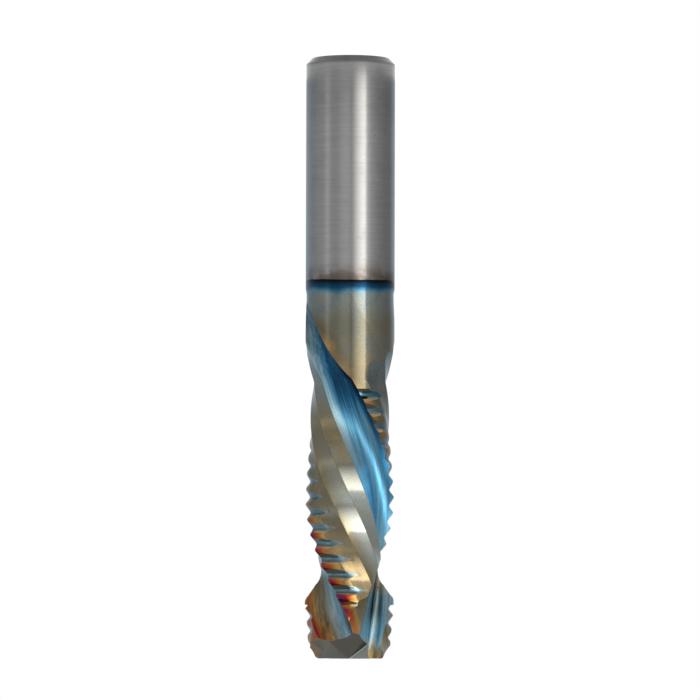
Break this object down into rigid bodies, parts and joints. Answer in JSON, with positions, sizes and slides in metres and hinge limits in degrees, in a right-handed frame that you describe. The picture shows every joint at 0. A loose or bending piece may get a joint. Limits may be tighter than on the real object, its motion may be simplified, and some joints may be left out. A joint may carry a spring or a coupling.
{
  "type": "compression router bit",
  "caption": "Solid carbide compression router bit with serrated down-cut and up-cut helical teeth on a plain 16 mm shank.",
  "frame": {"origin": "centre of the shank's end face, which is the face that the bit stands on", "axes": "+Z along the bit's axis, from the shank to the tip; +X and +Y across it, with the pictured side facing -Y"},
  "size_m": [0.016, 0.016, 0.108],
  "materials": {
    "coated_carbide": "ground carbide, bare on the shank, thin multicoloured hard coating on the neck and teeth"
  },
  "bodies": {
    "root": {"router_bit": "coated_carbide"}
  },
  "joints": []
}
